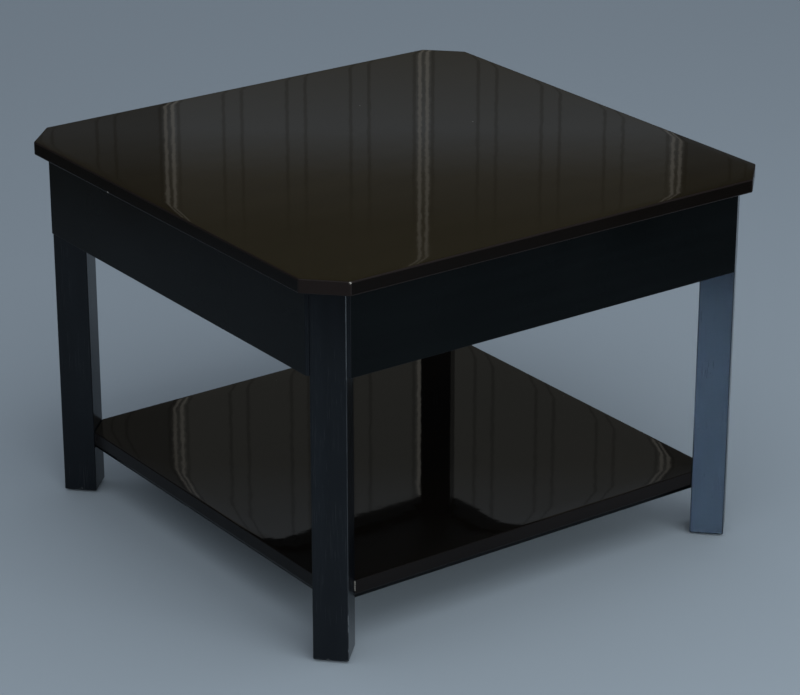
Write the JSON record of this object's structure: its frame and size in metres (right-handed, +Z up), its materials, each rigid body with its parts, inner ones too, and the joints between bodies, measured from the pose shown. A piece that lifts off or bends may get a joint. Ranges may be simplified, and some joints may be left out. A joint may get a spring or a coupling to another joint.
{
  "type": "lift top coffee table",
  "caption": "Low square lacquered table with clipped corners, 45-degree posts, a deep box under a top that lifts forward on parallel arms, and a low shelf.",
  "frame": {"origin": "on the floor under the centre of the closed table", "axes": "+Z up; +X to the right along the front board as its user sees it; the user sits on the -Y side and the top lifts towards them"},
  "size_m": [0.7, 0.7, 0.502],
  "materials": {
    "top_lacquer": "high-gloss espresso brown lacquer on board",
    "shelf_lacquer": "high-gloss espresso brown lacquer on board",
    "leg_lacquer": "satin blue-black lacquer",
    "apron_lacquer": "satin blue-black lacquer, fine grain",
    "floor_board": "black stained board",
    "beech": "bare planed beech",
    "zinc_plate": "zinc-plated pressed steel",
    "arm_steel": "zinc-plated flat bar",
    "pin_steel": "turned and riveted",
    "screw_steel": "bright zinc",
    "spring_steel": "oiled spring wire",
    "nylon": "natural nylon",
    "glide_plastic": "dark moulded plastic",
    "rubber": "matt black rubber"
  },
  "bodies": {
    "root": {"base_bracket_left": "zinc_plate", "base_bracket_right": "zinc_plate", "base_bracket_screws": "screw_steel", "corner_block_screws": "screw_steel", "hanger_bolts": "screw_steel", "hanger_nuts": "screw_steel", "base_pivot_pins": "pin_steel", "torsion_spring_left": "spring_steel", "torsion_spring_right": "spring_steel", "stop_buffers": "rubber", "top_bumpers": "rubber", "leg_front_left": "leg_lacquer", "leg_front_right": "leg_lacquer", "leg_back_left": "leg_lacquer", "leg_back_right": "leg_lacquer", "foot_glides": "glide_plastic", "apron_front": "apron_lacquer", "apron_back": "apron_lacquer", "apron_left": "apron_lacquer", "apron_right": "apron_lacquer", "cleat_front": "apron_lacquer", "cleat_back": "apron_lacquer", "cleat_left": "apron_lacquer", "cleat_right": "apron_lacquer", "shelf": "shelf_lacquer", "box_floor": "floor_board", "corner_block_front_left": "beech", "corner_block_front_right": "beech", "corner_block_back_left": "beech", "corner_block_back_right": "beech", "shelf_dowels": "beech"},
    "front_arms": {"front_arm_left": "arm_steel", "front_arm_right": "arm_steel", "front_arm_bushes": "nylon"},
    "rear_arms": {"rear_arm_left": "arm_steel", "rear_arm_right": "arm_steel", "rear_arm_bushes": "nylon"},
    "top": {"top_panel": "top_lacquer", "top_bracket_left": "zinc_plate", "top_bracket_right": "zinc_plate", "top_bracket_screws": "screw_steel", "top_pivot_pins": "pin_steel"}
  },
  "joints": [
    {"name": "front_arm_pivot", "type": "hinge", "parent": "root", "child": "front_arms", "pos_m": [0, -0.175, 0.434], "axis": [1, 0, 0], "range_deg": [0, 121]},
    {"name": "rear_arm_pivot", "type": "hinge", "parent": "root", "child": "rear_arms", "pos_m": [0, -0.065, 0.408], "axis": [1, 0, 0], "range_deg": [0, 121]},
    {"name": "top_pivot", "type": "hinge", "parent": "front_arms", "child": "top", "pos_m": [0, 0.02451, 0.44795], "axis": [1, 0, 0], "range_deg": [-121, 0]}
  ],
  "couplings": [
    {"joint": "rear_arm_pivot", "follows": "front_arm_pivot", "ratio": 1},
    {"joint": "top_pivot", "follows": "front_arm_pivot", "ratio": -1}
  ]
}
